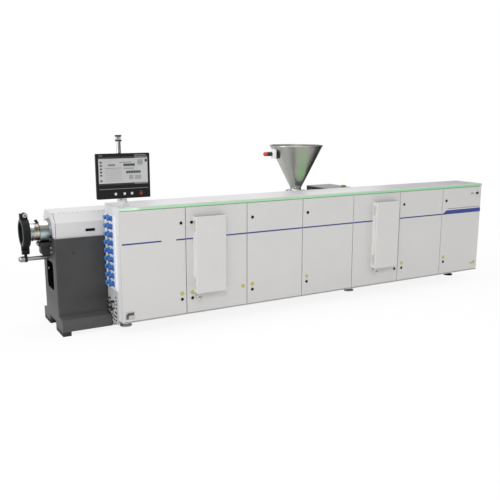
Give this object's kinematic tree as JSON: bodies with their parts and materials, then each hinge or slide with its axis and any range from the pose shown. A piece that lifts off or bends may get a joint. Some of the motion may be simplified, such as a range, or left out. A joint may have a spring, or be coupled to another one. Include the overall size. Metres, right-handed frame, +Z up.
{
  "type": "plastic extruder",
  "caption": "Plastic extruder with a hopper over the barrel, a hinged clamp at the outlet, a long door-fronted control cabinet and a swivelling operator panel",
  "frame": {"origin": "on the floor, at the centre of the machine's plan outline", "axes": "+X along the machine from the discharge end to the drive end, +Y from the cabinet doors to the back, +Z up"},
  "size_m": [6.462, 1.336, 2.219],
  "materials": {
    "cabinet_paint": "satin light grey enamel",
    "roof_paint": "satin pale grey enamel",
    "light_lens": "translucent green lens over lamps",
    "base_paint": "dark grey enamel on a casting",
    "frame_paint": "light grey enamel on steel section",
    "cover_paint": "light grey enamel on sheet steel",
    "machined_steel": "turned and polished, heat tinted",
    "bright_steel": "hard chrome",
    "black_steel": "black oxide",
    "stainless": "brushed stainless sheet",
    "socket_panel_white": "white panel",
    "socket_blue": "moulded blue",
    "plate_grey": "bare sheet",
    "black_plastic": "moulded black",
    "pedestal_white": "white enamel",
    "panel_black": "black front foil",
    "screen_glass": "lit display",
    "button_grey": "moulded caps",
    "signal_red": "moulded red",
    "housing_grey": "grey enamel on a casting",
    "hood_paint": "mid grey enamel",
    "motor_paint": "blue grey enamel",
    "sensor_white": "moulded white",
    "foot_rubber": "black rubber"
  },
  "bodies": {
    "machine": {"cabinet_floor": "cabinet_paint", "cabinet_roof": "roof_paint", "cabinet_back_wall": "cabinet_paint", "cabinet_end_walls": "cabinet_paint", "cabinet_uprights": "cabinet_paint", "light_strip": "light_lens", "hinge_pins": "bright_steel", "socket_panel": "socket_panel_white", "power_sockets": "socket_blue", "connector_plate": "plate_grey", "signal_connectors": "black_plastic", "operator_pedestal": "pedestal_white", "signal_post": "bright_steel", "barrel": "machined_steel", "clamp_hanger": "black_steel", "clamp_rod": "bright_steel", "barrel_cover": "cover_paint", "cover_end_plates": "cover_paint", "base_pedestal": "base_paint", "machine_frame": "frame_paint", "drive_bed": "frame_paint", "levelling_feet": "foot_rubber", "feed_housing": "housing_grey", "hopper_cone": "stainless", "sensor_box": "sensor_white", "level_sensor": "signal_red", "gear_unit": "housing_grey", "drive_hood": "hood_paint", "drive_motor": "motor_paint"},
    "door_leaf_1": {"door_1": "cabinet_paint"},
    "door_leaf_2": {"door_2": "cabinet_paint", "cooling_unit_1": "cabinet_paint"},
    "door_leaf_3": {"door_3": "cabinet_paint"},
    "door_leaf_4": {"door_4": "cabinet_paint"},
    "door_leaf_5": {"door_5": "cabinet_paint", "cooling_unit_2": "cabinet_paint"},
    "door_leaf_6": {"door_6": "cabinet_paint"},
    "door_leaf_7": {"door_7": "cabinet_paint", "main_switch": "signal_red"},
    "operator_unit": {"panel_housing": "panel_black", "panel_bracket": "black_steel", "panel_screen": "screen_glass", "push_buttons": "button_grey", "emergency_stop": "signal_red"},
    "clamp_front": {"clamp_half_front": "black_steel", "clamp_bolt": "bright_steel"},
    "clamp_rear": {"clamp_half_rear": "black_steel"}
  },
  "joints": [
    {"name": "door_1_hinge", "type": "hinge", "parent": "machine", "child": "door_leaf_1", "pos_m": [-2.307, -0.572, 0.793], "axis": [0, 0, 1], "range_deg": [-90, 0]},
    {"name": "door_2_hinge", "type": "hinge", "parent": "machine", "child": "door_leaf_2", "pos_m": [-0.751, -0.572, 0.793], "axis": [0, 0, 1], "range_deg": [0, 90]},
    {"name": "door_3_hinge", "type": "hinge", "parent": "machine", "child": "door_leaf_3", "pos_m": [0.049, -0.572, 0.793], "axis": [0, 0, 1], "range_deg": [0, 90]},
    {"name": "door_4_hinge", "type": "hinge", "parent": "machine", "child": "door_leaf_4", "pos_m": [0.849, -0.572, 0.793], "axis": [0, 0, 1], "range_deg": [0, 90]},
    {"name": "door_5_hinge", "type": "hinge", "parent": "machine", "child": "door_leaf_5", "pos_m": [0.869, -0.572, 0.793], "axis": [0, 0, 1], "range_deg": [-90, 0]},
    {"name": "door_6_hinge", "type": "hinge", "parent": "machine", "child": "door_leaf_6", "pos_m": [2.449, -0.572, 0.793], "axis": [0, 0, 1], "range_deg": [0, 90]},
    {"name": "door_7_hinge", "type": "hinge", "parent": "machine", "child": "door_leaf_7", "pos_m": [3.225, -0.572, 0.793], "axis": [0, 0, 1], "range_deg": [0, 90]},
    {"name": "operator_swivel", "type": "hinge", "parent": "machine", "child": "operator_unit", "pos_m": [-2.231, -0.39, 1.66], "axis": [0, 0, 1], "range_deg": [-90, 90]},
    {"name": "clamp_front_hinge", "type": "hinge", "parent": "machine", "child": "clamp_front", "pos_m": [-3.152, 0.223, 0.922], "axis": [1, 0, 0], "range_deg": [0, 60]},
    {"name": "clamp_rear_hinge", "type": "hinge", "parent": "machine", "child": "clamp_rear", "pos_m": [-3.152, 0.223, 0.922], "axis": [1, 0, 0], "range_deg": [-60, 0]}
  ]
}
